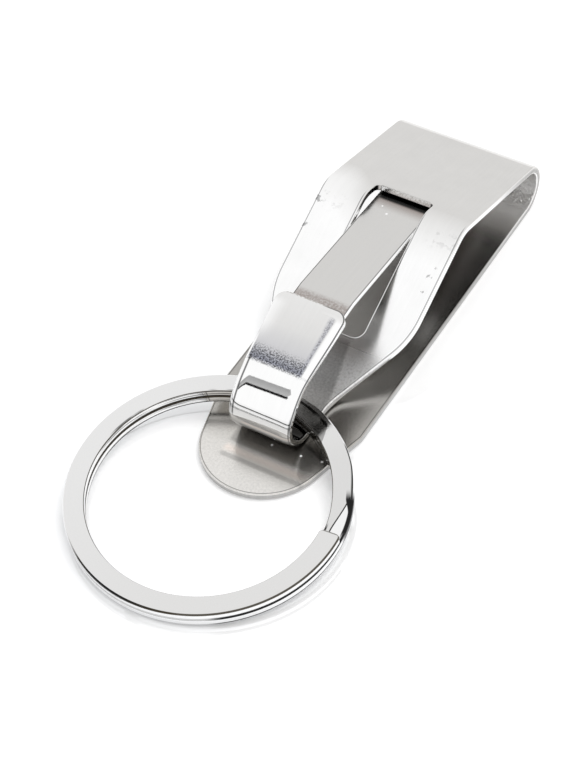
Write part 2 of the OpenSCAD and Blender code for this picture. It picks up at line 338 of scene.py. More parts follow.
class Nodes:
    """Short names for the few node kinds that the materials use. A mask is 1 where it holds and 0 elsewhere."""

    def __init__(self, tree):
        self.tree = tree

    def add(self, kind, inputs=(), **values):
        node = self.tree.nodes.new(kind)
        for key, value in values.items():
            setattr(node, key, value)
        for key, value in dict(inputs).items():
            socket = node.inputs[key]
            if isinstance(value, bpy.types.NodeSocket):
                self.tree.links.new(value, socket)
            else:
                socket.default_value = value
        return node

    def uv(self, name):
        return self.add("ShaderNodeUVMap", uv_map=name).outputs[0]

    def object_place(self):
        return self.add("ShaderNodeTexCoord").outputs["Object"]

    def split(self, vector):
        return self.add("ShaderNodeSeparateXYZ", {0: vector}).outputs

    def millimetres(self, *lengths):
        return [self.times(length, 1 / MM) for length in lengths]

    def maths(self, operation, a, b=0.0):
        return self.add("ShaderNodeMath", {0: a, 1: b}, operation=operation).outputs[0]

    def vectors(self, operation, a, b):
        return self.add("ShaderNodeVectorMath", {0: a, 1: b}, operation=operation).outputs

    def times(self, *factors):
        """The product of masks and numbers."""
        return reduce(lambda a, b: self.maths("MULTIPLY", a, b), factors)

    def plus(self, *terms):
        return reduce(lambda a, b: self.maths("ADD", a, b), terms)

    def minus(self, a, b):
        return self.maths("SUBTRACT", a, b)

    def highest(self, *masks):
        return reduce(lambda a, b: self.maths("MAXIMUM", a, b), masks)

    def outside(self, mask):
        return self.minus(1.0, mask)

    def step(self, value, low, high, to_low=0.0, to_high=1.0, kind="SMOOTHSTEP"):
        """A soft step up from low to high, or down where low is the greater."""
        return self.add("ShaderNodeMapRange",
                        {"Value": value, "From Min": low, "From Max": high, "To Min": to_low, "To Max": to_high},
                        interpolation_type=kind).outputs[0]

    def zone(self, value, rise, low, high, fall):
        """1 between low and high, rising to it from rise and falling to 0 at fall."""
        return self.times(self.step(value, rise, low), self.step(value, fall, high))

    def band(self, value, low, high, soft):
        return self.zone(value, low - soft, low, high, high + soft)

    def spot(self, place, centre, radius):
        """A soft round spot on a flat UV set, by its centre and radius in millimetres."""
        centre = (centre[0] * MM, centre[1] * MM, 0.0)
        gap = self.vectors("DISTANCE", place, centre)["Value"]
        return self.step(gap, radius * MM, radius * 0.4 * MM)

    def spots(self, place, start, marks):
        """Soft round spots on a flat UV set, each by its x, its distance past the start, and its radius."""
        return self.highest(*(self.spot(place, (x, start + past), radius) for x, past, radius in marks))

    def noise(self, vector, scale, detail=3.0, rough=0.5):
        return self.add("ShaderNodeTexNoise",
                        {"Vector": vector, "Scale": scale, "Detail": detail, "Roughness": rough}).outputs[0]

    def patches(self, vector, scale, low, high, rough=0.6):
        """A mask of ragged patches: where the noise is above a soft step from low to high."""
        return self.step(self.noise(vector, scale, 3.0, rough), low, high)

    def streaks(self, vector, scale):
        """Noise drawn out along a sheet, by its scales across and along it."""
        return self.noise(self.vectors("MULTIPLY", vector, (*scale, 1.0))[0], 1.0)

    def mix(self, share, a, b):
        return self.add("ShaderNodeMix", {0: share, 6: a, 7: b}, data_type="RGBA").outputs[2]

    def painted(self, colour, layers):
        """The colour with layers of paint over it in turn, each as (mask, paint)."""
        for mask, paint in layers:
            colour = self.mix(mask, colour, paint)
        return colour

    def shaded(self, shade, layers):
        """The shade, darkened in turn by each layer, as (mask, the share of light that it leaves)."""
        for mask, level in layers:
            shade = self.times(shade, self.step(mask, 0.0, 1.0, 1.0, level))
        return shade

    def scaled(self, colour, shade):
        return self.add("ShaderNodeVectorMath", {0: colour, 3: shade}, operation="SCALE").outputs[0]

    def ramp(self, value, stops):
        """A colour ramp, by stops of (value, colour) in order."""
        (low, first), *between, (high, last) = stops
        node = self.add("ShaderNodeValToRGB", {0: self.step(value, low, high, kind="LINEAR")})
        elements = node.color_ramp.elements
        elements[0].color, elements[1].color = first, last
        for at, colour in between:
            elements.new((at - low) / (high - low)).color = colour
        return node.outputs[0]

    def bump(self, height, distance, normal=None):
        inputs = {"Height": height, "Distance": distance}
        if normal is not None:
            inputs["Normal"] = normal
        return self.add("ShaderNodeBump", inputs).outputs[0]

    def glow(self, strength):
        return self.add("ShaderNodeEmission", {"Color": grey(1.0), "Strength": strength})

    def surface(self, shader):
        self.add("ShaderNodeOutputMaterial", {"Surface": shader.outputs[0]})

    def seen(self):
        """1 for the rays that make the background: those from the camera, from a mirror and through glass."""
        rays = self.add("ShaderNodeLightPath").outputs
        return self.highest(rays["Is Camera Ray"], rays["Is Glossy Ray"], rays["Is Transmission Ray"])


def grey(level, warmth=0.0):
    """A linear grey, a little warmer where warmth is above zero."""
    return (level * (1 + warmth), level, level * (1 - 1.6 * warmth), 1.0)


def fresh_nodes(owner):
    owner.use_nodes = True
    owner.node_tree.nodes.clear()
    return Nodes(owner.node_tree)


def new_material(name):
    material = bpy.data.materials.new(name)
    return material, fresh_nodes(material)


def metal(n, colour, roughness, normal, metallic=1.0):
    n.surface(n.add("ShaderNodeBsdfPrincipled", {"Base Color": colour, "Roughness": roughness, "Normal": normal,
                                                 "Metallic": metallic}))


# ---- Places on the strip and the ring, as the part's source works them out ----

half_w = STRIP_W / 2
plate_end_r = half_w - END_INSET
bend_mid_r = BEND_R + STRIP_T / 2
apex = Vector((PLATE_LEN + bend_mid_r, STRIP_T / 2 + bend_mid_r))
rise_way = 180 - LEG_RISE
flat_start = Vector((PLATE_LEN, apex[1])) + bend_mid_r * unit(rise_way - 90)
bend_corner = flat_start - bend_mid_r * math.tan(math.radians(90 - LEG_RISE) / 2) * unit(rise_way)
crease = flat_start + FLAT_LEN * unit(rise_way)
neck_z = STRIP_T + NECK_GAP + STRIP_T / 2
toe = Vector((crease[0] - (crease[1] - neck_z) / math.tan(math.radians(LEG_FALL)), neck_z))
curl_mid_r = CURL_R + STRIP_T / 2
curl_y = toe[0] - NECK_LEN
curl_back = curl_mid_r * math.tan(math.radians(180 - CURL_END) / 4)
curl_low = Vector((curl_y - curl_back, neck_z))
curl_high = curl_low + 2 * curl_back * unit(90 + CURL_END / 2)
leaf_bend_mid_r = LEAF_BEND_R + STRIP_T / 2
leaf_back = leaf_bend_mid_r * math.tan(math.radians(CURL_END - LEAF_RISE) / 2)
leaf_corner = curl_high + (curl_back + leaf_back) * unit(CURL_END)
tip = leaf_corner + (leaf_back + LEAF_LEN) * unit(LEAF_RISE)
tip_top = tip + STRIP_T / 2 * unit(LEAF_RISE + 90)
window_top = crease[0] + WINDOW_REACH
window_foot = window_top - WINDOW_LEN

strip = Track(
    [(-plate_end_r, STRIP_T / 2), (apex[0], STRIP_T / 2), bend_corner, crease, toe,
     curl_low, curl_high, leaf_corner, tip],
    [bend_mid_r, bend_mid_r, CREASE_R + STRIP_T / 2, TOE_R + STRIP_T / 2, curl_mid_r, curl_mid_r,
     leaf_bend_mid_r])
apex_s = strip.starts[2]
flat_s = strip.starts[4]
crease_s = strip.starts[5]
neck_end_s = strip.starts[9]
curl_end_s = strip.starts[12]
leaf_s = strip.starts[14]
window_shadow_s = plate_end_r + 30


def leg_s(y):
    """Distance along the strip at which its front leg is at y."""
    return strip.where(y, apex_s, neck_end_s)


SEAM_LAP = 1.0
plate_seam = PLATE_LEN + plate_end_r - SEAM_LAP
leg_seam = flat_s + SEAM_LAP

WIRE_PER_DEGREE = math.radians(1) * (RING_OD - WIRE_W) / 2


def strip_edge(s, left):
    return SHARP_EDGE if left else SOFT_EDGE


def gate_edge(s, left):
    return GATE_UNDER_EDGE if left else GATE_FACE_EDGE


def hook_edge(s, left):
    """The punched edge all along the leg, which the hook's outer side rounds off into a broad crown."""
    if not left:
        return SOFT_EDGE
    share = smooth(neck_end_s - 2, curl_end_s - 3, s) * (1 - smooth(strip.length - 4, strip.length - 0.5, s))
    return tuple(a + (b - a) * share for a, b in zip(SHARP_EDGE, LEAF_CROWN))


def plate_outline():
    flare = math.hypot(half_w, END_TAPER_LEN)
    touch = math.degrees(math.atan2(END_TAPER_LEN, half_w) - math.acos(plate_end_r / flare))
    steps = math.ceil((touch + 90) / 3)
    arc = [plate_end_r * unit(-90 + (touch + 90) * i / steps) for i in range(1, steps + 1)]
    right = arc + [Vector((half_w, END_TAPER_LEN)), Vector((half_w, apex[0] + bend_mid_r))]
    points = both_sides(right) + [Vector((0, -plate_end_r))]
    return [Vector((p[0], p[1] + plate_end_r)) for p in points]


def leg_outline():
    """The leg's outline in the flat: shoulders, tapering sides, neck, and the leaf that widens to its tip."""
    taper_y = toe[0] - STRIP_T / 2
    plan = rounded([(half_w, PLATE_LEN), (half_w, taper_y + LEG_TAPER_LEN), (HOOK_W / 2, taper_y),
                    (HOOK_W / 2, curl_y), (0, curl_y), (0, PLATE_LEN)],
                   [0, SHOULDER_R, NECK_SIDE_R, 0, 0, 0], 2.0)[:-3]
    side = [Vector((p[0], leg_s(p[1]))) for p in plan[1:]]
    widen = strip.where(curl_y, curl_end_s, leaf_s)
    below = widen - LEAF_SIDE_R
    leaf = rounded([(0, below), (HOOK_W / 2, below), (HOOK_W / 2, widen), (TIP_W / 2, strip.length),
                    (0, strip.length)], [0, 0, LEAF_SIDE_R, TIP_R, 0])[2:-1]
    return both_sides([Vector((half_w, apex_s - 4))] + side + leaf)


def window_outline():
    right = [(WINDOW_W / 2, window_foot), (WINDOW_W / 2, window_top)]
    plan = rounded(both_sides([Vector(p) for p in right]),
                   [WINDOW_FOOT_R, WINDOW_TOP_R, WINDOW_TOP_R, WINDOW_FOOT_R])
    return [Vector((p[0], leg_s(p[1]))) for p in plan]


# ---- Metals ----

WHITE, BLACK = grey(1.0), grey(0.02)
# Colours of painted reflections and shade
CROWN_REFLECTION_BLUE = (0.4, 0.41, 0.48, 1.0)
MIRRORED_WARM = (0.98, 0.86, 0.78, 1.0)
BROWN_REFLECTION_AND_SHADE = (0.27, 0.22, 0.2, 1.0)

# Small marks, each by its x, its distance along the sheet from where it is counted, and its radius
SLOPE_SPOTS = ((-8.7, 6.1, 0.9), (-8.7, 2.1, 1.0), (7.94, 5.4, 0.45), (7.82, 6.5, 0.5), (7.8, 8.3, 0.3),
                (7.7, 3.4, 0.4))
PLATE_SPECKS = ((0.83, -0.05, 0.2), (4.47, 0.09, 0.2), (6.95, 0.43, 0.2))
TONGUE_FLECKS = ((-0.8, 4.1, 0.2), (-1.9, 3.1, 0.15))


class SheetPlace:
    """Where a point of a bent sheet is: across, along and from its edge in millimetres, and on its inner side, left
    of the track, its outer side, or the cut face between them."""

    def __init__(self, n):
        self.flat_uv = n.uv("flat")
        x, s, _ = n.split(self.flat_uv)
        edge, self.left, _ = n.split(n.uv("edge"))
        self.x, self.s, self.edge = n.millimetres(x, s, edge)
        self.inner = n.step(self.left, 0.45, 0.55)
        self.outer = n.outside(self.inner)
        self.cut_face = n.zone(self.left, 0.0, 0.05, 0.95, 1.0)


def inner_colours_and_painted_light(n, on):
    """The plate's top, the inside of the U-bend, the leg's underside and the hook's outside, with painted light:
    painted shade on the plate under the leg and on the leg's underside, a painted highlight inside the U-bend, and
    painted reflection bands round the curl and at the leaf's foot.
    """
    colour = n.ramp(on.s, [
        (0.0, grey(0.75, 0.02)),
        (plate_end_r - 2.5, grey(0.73, 0.025)),
        (plate_end_r + 1, grey(0.5, 0.04)),
        (plate_end_r + 8, grey(0.42, 0.03)),
        (window_shadow_s, grey(0.36, 0.015)),
        (apex_s - 3, grey(0.9, 0.01)),
        (flat_s - 1, grey(0.98, 0.005)),
        (flat_s + 3, grey(0.4, 0.015)),
        (leg_s(8), grey(0.5, 0.015)),
        (curl_end_s - 4.2, grey(0.25, 0.01)),
        (curl_end_s - 3.8, grey(0.8)),
        (curl_end_s - 3.4, grey(0.36, 0.01)),
        (curl_end_s - 2.8, grey(0.4, 0.01)),
        (curl_end_s - 2.5, grey(0.66, 0.01)),
        (curl_end_s - 0.8, grey(0.6, 0.01)),
        (curl_end_s - 0.6, grey(0.98)),
        (leaf_s - 0.9, grey(0.98)),
        (leaf_s - 0.65, (0.3, 0.31, 0.37, 1.0)),
        (leaf_s - 0.1, (0.42, 0.43, 0.48, 1.0)),
        (leaf_s + 0.8, (0.6, 0.6, 0.62, 1.0)),
        (leaf_s + 4, grey(0.74, 0.006)),
        (strip.length, grey(0.8, 0.006)),
    ])
    # A painted reflection: the plate's left margin under the window shows the white beside it
    margin_reflection = n.times(n.step(on.x, -4.0, -6.2), n.band(on.s, window_shadow_s, apex_s - 3, 4.0))
    return n.mix(margin_reflection, colour, WHITE)


def outer_colours_and_painted_light(n, on):
    """The plate's back, the U-bend's outside, the leg's face and the hook's inside, with a painted highlight up the
    slope past the crease, and painted reflection and shade that darken the neck and the hook's inside.
    """
    # The painted highlight past the crease starts earlier near the leg's left side
    s = n.plus(on.s, n.step(on.x, -3.0, -7.5, 0.0, 3.0))
    return n.ramp(s, [
        (0.0, grey(0.68, 0.01)),
        (flat_s, grey(0.65, 0.014)),
        (crease_s - 0.5, grey(0.665, 0.014)),
        (crease_s + 1.8, grey(0.8, 0.006)),
        (crease_s + 3.5, grey(0.89, 0.003)),
        (crease_s + 6.5, grey(0.98)),
        (leg_s(13), grey(0.96)),
        (leg_s(8), grey(0.95, 0.01)),
        (leg_s(4), grey(0.75, 0.015)),
        (neck_end_s, grey(0.25, 0.02)),
        (strip.length, grey(0.25, 0.02)),
    ])


def cut_face_colours(n, on):
    """Painted reflections on the cut faces: dull round the plate and bright on the leg, torn at the window's top and
    along the curl, and painted black shade in the window's left corner.
    """
    torn = n.patches(n.object_place(), 5200.0, 0.46, 0.6)
    at_top = n.times(n.band(on.s, leg_s(window_top + 0.2), leg_s(window_top - 0.2), 0.3),
                     n.step(n.maths("ABSOLUTE", on.x), 3.8, 3.6))
    at_curl = n.band(on.s, curl_end_s - 7, curl_end_s - 2, 0.5)
    corner_shade = n.times(n.band(on.s, leg_s(window_top - 0.1), leg_s(window_top - 4), 1.0),
                          n.band(on.x, -4.0, -3.6, 0.2))
    leg_face = n.painted(WHITE, [
        (n.times(torn, at_top), grey(0.66, 0.02)),
        (n.times(torn, at_curl), grey(0.3, 0.02)),
        (corner_shade, grey(0.04)),
    ])
    return n.mix(n.step(on.s, apex_s + 6, apex_s + 15), grey(0.42, 0.01), leg_face)


def leaf_masks(n, on):
    """The stretched leaf's painted light: a painted grainy dark reflection at its foot and along its crown, painted
    highlights at its sides, and painted dark reflection lines along its rounded edge; and a ragged dark line along its
    tip."""
    right, left = n.step(on.x, 1.0, 2.0), n.step(on.x, -1.0, -2.0)
    on_leaf = n.times(on.inner, n.zone(on.s, leaf_s - 1.4, leaf_s - 0.6, strip.length - 1.8, strip.length - 0.6))
    # The crown's inner border, which gets a painted bluish reflection
    crown = n.times(on_leaf, n.step(on.x, 2.4, 3.0), n.zone(on.edge, 0.95, 1.15, 1.3, 1.9))
    foot = n.times(on.inner, n.zone(on.s, leaf_s - 1.2, leaf_s - 0.7, leaf_s, leaf_s + 1.8))
    grainy_dark_reflection = n.highest(foot, n.times(crown, 0.6))

    # Painted highlights along the crown, the left rim and the left side
    crown_light = n.times(right, n.step(on.edge, 1.1, 0.75))
    rim_light = n.times(left, n.step(on.s, leaf_s + 3.5, leaf_s + 1), n.step(on.edge, 0.4, 0.2))
    side_light = n.times(n.step(on.x, -2.2, -4.5, 0.0, 0.8), n.step(on.s, leaf_s + 1, leaf_s + 4))
    light = n.times(on_leaf, n.highest(crown_light, rim_light, side_light))

    # Painted dark reflection lines along the rounded edges
    left_line = n.times(left, n.band(on.edge, 0.5, 0.6, 0.12), n.band(on.s, curl_end_s - 1.5, leaf_s - 0.8, 0.8))
    right_line = n.times(right, n.band(on.edge, 0.05, 0.14, 0.05), n.step(on.s, curl_end_s - 3, curl_end_s - 1))
    lines = n.times(on.inner, n.highest(left_line, right_line))
    ragged = n.patches(on.flat_uv, 2600.0, 0.4, 0.55)
    tip_line = n.times(on.inner, ragged, n.step(on.s, strip.length - 0.3, strip.length - 0.1),
                       n.step(on.edge, 0.22, 0.1))
    return grainy_dark_reflection, crown, light, lines, tip_line


def mirrored_curl_masks(n, on):
    """A painted reflection of the curl in the plate below it: a dark zone, a warm streak, and a thin dark band beyond
    that.
    """
    under_curl = n.times(on.inner, n.step(on.x, -4.2, -3.4))
    dark = n.times(under_curl, n.step(on.x, 9.0, 5.0),
                   n.zone(on.s, plate_end_r - 1.9, plate_end_r - 1.2, plate_end_r + 3, plate_end_r + 11))
    warm = n.times(under_curl, n.step(on.x, 7.5, 5.0), n.band(on.s, plate_end_r - 2.6, plate_end_r - 2.5, 0.8))
    thin = n.times(under_curl, n.step(on.x, 7.5, 6.0), n.band(on.s, plate_end_r - 3.6, plate_end_r - 3.5, 0.5))
    return dark, warm, thin


def mirrored_hook_mask(n, on):
    """A painted reflection of the hook in the neck: dark up to a line that leaves the light along the neck's right
    side.
    """
    past_line = n.minus(on.x, n.step(on.s, leg_s(15), leg_s(7), 2.8, 3.7))
    return n.times(on.outer, n.step(on.s, leg_s(15.3), leg_s(14)), n.step(past_line, 0.4, -0.4))


def face_line_mask(n, on):
    """A thin painted dark reflection line where the face meets its rounded edge, on the plate's end, the slope and the
    neck.
    """
    on_plate = n.step(on.s, plate_end_r + 40, window_shadow_s)
    on_leg = n.zone(on.s, crease_s, crease_s + 2, curl_end_s - 1, curl_end_s + 1)
    return n.times(n.zone(on.edge, 0.12, 0.18, 0.22, 0.3), n.highest(on_plate, on_leg))


def slope_spots_and_crease_shade_mask(n, on):
    """Grey spots on the slope, and painted shade, mottled, at both sides of the crease."""
    start = crease_s + 1.2
    # Painted shade of a mottled reflection at both sides of the crease
    mottled = n.times(n.step(n.maths("ABSOLUTE", on.x), 4.5, 6.5),
                      n.zone(on.s, start + 0.3, start + 1.5, start + 2, start + 4), 0.35)
    blotches = n.patches(on.flat_uv, 1300.0, 0.5, 0.62)
    return n.times(blotches, n.highest(n.spots(on.flat_uv, start, SLOPE_SPOTS), mottled))


def strip_finish(n, on, fine):
    """The roughness and the normal: a polished curl, a dented U-bend inside, and a dull and grainy bend at the toe."""
    polished = n.zone(on.s, neck_end_s - 1, neck_end_s + 1, leaf_s - 1.1, leaf_s - 0.5)
    in_bend = n.times(on.inner, n.zone(on.s, apex_s - 6, apex_s - 3, flat_s, flat_s + 3))
    on_plate = n.times(on.inner, n.step(on.s, apex_s - 3, apex_s - 6))
    at_toe = n.times(on.outer, n.zone(on.s, leg_s(17), leg_s(10), leg_s(5), leg_s(2)))
    roughness = n.plus(n.step(polished, 0.0, 1.0, 0.14, 0.05), n.times(in_bend, 0.2), n.times(on_plate, 0.1),
                       n.times(at_toe, 0.36))
    depth = n.plus(n.step(polished, 0.0, 1.0, 0.3, 0.15), on.cut_face, n.times(at_toe, 1.2))
    dents = n.times(in_bend, n.noise(on.flat_uv, 900.0, 3.0, 0.6))
    return roughness, n.bump(n.times(fine, depth), 0.006 * MM, n.bump(dents, 0.3 * MM))


def strip_material():
    material, n = new_material("strip_steel")
    on = SheetPlace(n)
    fine = n.noise(on.flat_uv, 3600.0)
    grainy_dark_reflection, crown, leaf_light, leaf_lines, tip_line = leaf_masks(n, on)
    dark_zone, warm_streak, thin_band = mirrored_curl_masks(n, on)

    colour = n.mix(on.inner, outer_colours_and_painted_light(n, on), inner_colours_and_painted_light(n, on))
    # Painted light over the colours: painted reflections on the cut faces, a painted bluish reflection on the crown,
    # the leaf's painted highlights and dark reflection lines along its edges, a ragged dark line along its tip, and
    # the curl's painted warm reflection in the plate
    colour = n.painted(colour, [
        (on.cut_face, cut_face_colours(n, on)),
        (n.times(crown, 0.5), CROWN_REFLECTION_BLUE),
        (leaf_light, WHITE),
        (n.times(leaf_lines, 0.85), grey(0.05)),
        (n.times(tip_line, 0.55), grey(0.3, 0.08)),
        (n.times(warm_streak, 0.55), MIRRORED_WARM),
    ])

    # Cloudy tarnish and the long draw marks of the rolled sheet, then painted shade and reflections that darken it:
    # the leaf's grainy dark band, the curl in the plate and the hook in the neck
    shade = n.plus(0.935, n.times(n.noise(on.flat_uv, 320.0, 4.0), 0.08),
                   n.times(n.streaks(on.flat_uv, (3000.0, 160.0)), 0.05))
    speckles = n.patches(on.flat_uv, 5600.0, 0.42, 0.58)
    shade = n.shaded(shade, [(n.times(grainy_dark_reflection, speckles), 0.2), (dark_zone, 0.66), (thin_band, 0.72),
                             (mirrored_hook_mask(n, on), 0.56)])
    # The fine grain shows on the plate's end, and more on the neck
    grain = n.plus(n.step(on.s, window_shadow_s, plate_end_r + 20, 0.0, 0.3),
                   n.times(on.outer, n.band(on.s, leg_s(12), leg_s(0), 3.0), 0.9))
    shade = n.times(shade, n.plus(1.0, n.times(n.minus(fine, 0.5), grain)))
    # The leaf's painted highlights stay full white; painted dark reflection lines at the face's edges, the slope's
    # grey spots and painted shade at the crease darken the rest
    shade = n.mix(leaf_light, shade, WHITE)
    shade = n.shaded(shade, [(face_line_mask(n, on), 0.4), (slope_spots_and_crease_shade_mask(n, on), 0.5)])

    specks = n.times(on.inner, n.spots(on.flat_uv, plate_end_r, PLATE_SPECKS))
    colour = n.mix(specks, n.scaled(colour, shade), WHITE)
    roughness, normal = strip_finish(n, on, fine)
    metal(n, colour, roughness, normal, n.outside(specks))
    return material


def gate_material(bend_s, window_s):
    """Thin satin steel, by the distances along the gate of its bend under the leaf and its fold under the window."""
    material, n = new_material("gate_steel")
    on = SheetPlace(n)
    on_face, off_back = n.step(on.left, 0.3, 0.05), n.step(on.left, 0.9, 0.7)
    drawn = n.streaks(on.flat_uv, (2600.0, 120.0))
    ragged = n.step(n.noise(on.flat_uv, 3400.0, 3.0, 0.65), 0.3, 0.65, 0.35, 1.0)
    # Painted reflection and shade on the tongue: the leaf mirrored near its bend, painted shade just past the fold
    # under the window's end with painted black in the gap there, and the window's left side mirrored beside it
    near_leaf = n.times(ragged, n.step(on.s, bend_s + 0.25, bend_s + 1.2, 0.0, 0.75))
    near_window = n.step(on.s, window_s + 3.9, window_s + 1.7, 0.0, 0.8)
    gap_shade = n.times(off_back, n.step(on.s, window_s + 2.2, window_s + 1.75))
    beside = n.times(on_face, ragged, n.step(on.x, -2.7, -3.2), n.step(on.s, window_s + 5, window_s + 4))
    # Painted light on its own edges: a painted highlight along the cut edge, with a thin painted dark reflection line
    # beside
    edge_line = n.times(on_face, n.zone(on.edge, 0.12, 0.15, 0.2, 0.27))
    cut_edge = n.times(off_back, n.step(on.edge, 0.15, 0.11))
    colour = n.painted(n.mix(drawn, grey(0.62, 0.014), grey(0.65, 0.014)), [
        (n.highest(near_leaf, near_window), BROWN_REFLECTION_AND_SHADE),
        (n.times(edge_line, 0.85), grey(0.06)),
        (gap_shade, BLACK),
        (n.times(beside, 0.9), grey(0.1, 0.03)),
        (cut_edge, grey(0.98)),
        (n.spots(on.flat_uv, window_s, TONGUE_FLECKS), WHITE),
    ])
    grain = n.bump(n.noise(on.flat_uv, 3600.0), 0.0025 * MM)
    metal(n, colour, n.step(drawn, 0.0, 1.0, 0.18, 0.26), grain)
    return material


class WirePlace:
    """Where a point of the ring's wire is: its angle in degrees, its depth below the top and its distance outwards
    from the wire's middle. The top is ground flat, up to where the wire steps down beside its cut end."""

    def __init__(self, n, step_start, step_end):
        self.flat_uv = n.uv("flat")
        along, _, _ = n.split(self.flat_uv)
        below, out, _ = n.split(n.uv("edge"))
        self.along, self.below, self.out = n.millimetres(along, below, out)
        self.angle = n.maths("DIVIDE", self.along, WIRE_PER_DEGREE)
        self.step_start, self.step_end = step_start, step_end
        self.top = n.step(self.below, 0.2, 0.1)
        self.outer = n.step(self.out, 0.0, 0.1)
        self.side = n.step(n.maths("ABSOLUTE", self.out), WIRE_W / 2 - 0.35, WIRE_W / 2 - 0.2)
        narrowing = n.step(self.angle, step_start + 4, step_end + 2, 1.4, -0.5)
        self.inside_ground = n.minus(narrowing, self.out)
        self.ground = n.times(n.step(self.below, 0.03, 0.01), n.step(self.inside_ground, -0.03, 0.05))


def both_turns(n, at, low, high, soft):
    """A band of angles on both turns of the wire."""
    return n.highest(*(n.band(at.angle, low + start, high + start, soft) for start in (0, 360)))


def broken_streaks_mask(n, at):
    """Broken streaks along the inside of the wire's far left part."""
    place = n.add("ShaderNodeCombineXYZ", {0: n.times(at.along, 0.11), 1: n.times(at.below, 5.2)}).outputs[0]
    broken = n.patches(place, 1.0, 0.48, 0.6, 0.55)
    return n.times(broken, both_turns(n, at, 188, 268, 12), at.side, n.outside(at.outer))


def crevice_mask(n, at):
    """Painted shade: black at the foot of each turn's side and at the top of the lower turn's, both paler round the
    ring's near left side.
    """
    pale = n.times(both_turns(n, at, 66, 141, 8), at.outer, 0.65)
    foot = n.step(at.below, WIRE_H - 0.31, WIRE_H - 0.24)
    top = n.times(n.step(at.below, 0.2, 0.14), n.step(at.angle, at.step_end - 3, at.step_end + 1))
    return n.times(at.side, n.outside(pale), n.highest(foot, top))


def step_mask(n, at):
    """Painted black shade at the step: the line that leads to it, the raw facet beside it, and the ground face's end.
    """
    start, end = at.step_start, at.step_end
    before = n.times(n.band(at.angle, start - 8, start + 15, 4), at.outer, n.band(at.below, 0.03, 0.1, 0.03))
    facet_from = n.step(at.angle, start + 15, start + 22, 0.3, 0.74)
    facet = n.times(n.band(at.angle, start + 16, end, 5), n.step(n.minus(at.out, facet_from), 0.0, 0.08))
    face_end = n.times(n.band(at.angle, start + 15, end + 4, 2), at.top,
                       n.band(at.inside_ground, -0.05, 0.05, 0.05))
    return n.highest(before, facet, face_end)


def rim_masks(n, at):
    """Painted reflections in the wire's rounded top edges: thin dark lines, one across the cut end, and a broad black
    streak at the near left, which is also a mask of its own."""
    streak = n.zone(at.angle, 74, 104, 112, 142)
    depth = n.plus(n.step(at.angle, 100, 76, 0.1, 0.22), n.times(streak, 0.25))
    rim = n.times(n.step(at.below, 0.012, 0.03), n.step(n.minus(depth, at.below), -0.02, 0.02))
    outside = n.times(at.outer, n.plus(streak, n.step(at.angle, 150, 90, 0.0, 0.95)))
    inside = n.times(n.outside(at.outer), n.step(at.angle, 110, 132, 0.5, 0.97))
    cut_end = n.times(at.top, n.zone(at.along, 0.03, 0.07, 0.14, 0.2), 0.7)
    return n.highest(n.times(rim, n.plus(outside, inside)), cut_end), streak


def hook_layers(n, at):
    """The hook, mirrored in the ground face beside it up to a sharp slanting line, as layers of paint."""
    slanted = n.plus(at.angle, n.times(at.out, 10 / WIRE_W))
    hook = n.zone(slanted, 291, 300, 305.8, 306.4)
    edges = n.zone(slanted, 282, 288, 305.8, 306.4)
    return [
        (n.times(hook, at.top), grey(0.38, 0.01)),
        (n.times(edges, n.band(at.out, 0.35, 0.55, 0.12), 0.9), BLACK),
        (n.times(edges, n.band(at.out, 0.7, 0.9, 0.1), 0.8), grey(0.95)),
        (n.times(hook, n.spot(at.flat_uv, (298 * WIRE_PER_DEGREE, -0.1), 0.9)), grey(0.85)),
    ]


def ring_material(step_start):
    """Polished wire with ground faces, by the angle along the wire at which it starts to step down."""
    material, n = new_material("ring_chrome")
    at = WirePlace(n, step_start, step_start + RAMP)
    fine = n.noise(at.flat_uv, 6000.0)
    far_side = n.zone(at.angle, 70, 190, 215, 320)
    rim, streak = rim_masks(n, at)
    # Painted light over the polished wire: painted shade on the ground face, lighter over the far side; the hook's
    # painted reflection; broken dark streaks; painted shade on the face past the hook; painted black shade in the
    # crevices and at the step; and painted reflections along the top edges
    colour = n.painted(grey(0.9), [
        (at.ground, n.mix(far_side, grey(0.745, 0.005), grey(0.8, 0.002))),
        *hook_layers(n, at),
        (n.times(broken_streaks_mask(n, at), 0.85), grey(0.1)),
        (n.times(at.ground, n.step(at.angle, 306, 325, 0.0, 0.14)), grey(0.5, 0.005)),
        (n.highest(crevice_mask(n, at), step_mask(n, at)), BLACK),
        (rim, n.mix(streak, grey(0.05, 0.2), BLACK)),
    ])
    colour = n.scaled(colour, n.plus(0.97, n.times(fine, 0.06)))
    metal(n, colour, n.step(at.ground, 0.0, 1.0, 0.05, 0.09), n.bump(n.times(fine, at.ground), 0.003 * MM))
    return material


# ---- Pieces ----

def build_strip(material):
    plate = bent_sheet("plate_piece", strip, STRIP_T, Outline(plate_outline(), 1.0), [],
                       (-1.0, plate_seam), strip_edge, material, EDGE_INSETS, STRIP_COLUMNS)
    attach(plate, "plate")
    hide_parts("back_plate")

    side = [Vector((half_w, plate_seam - 5)), Vector((half_w, leg_seam + 5))]
    bend = bent_sheet("bend_piece", strip, STRIP_T, Outline(both_sides(side), 1.0), [],
                      (plate_seam, leg_seam), strip_edge, material, EDGE_INSETS, STRIP_COLUMNS)
    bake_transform(bend)

    leg = bent_sheet("leg_piece", strip, STRIP_T, Outline(leg_outline(), 0.8),
                     [Outline(window_outline(), 0.8, hole=True)],
                     (leg_seam, strip.length + 1), hook_edge, material,
                     EDGE_INSETS + CROWN_INSETS, STRIP_COLUMNS, arc_step=3.0)
    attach(leg, "leg")
    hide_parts("front_leg")


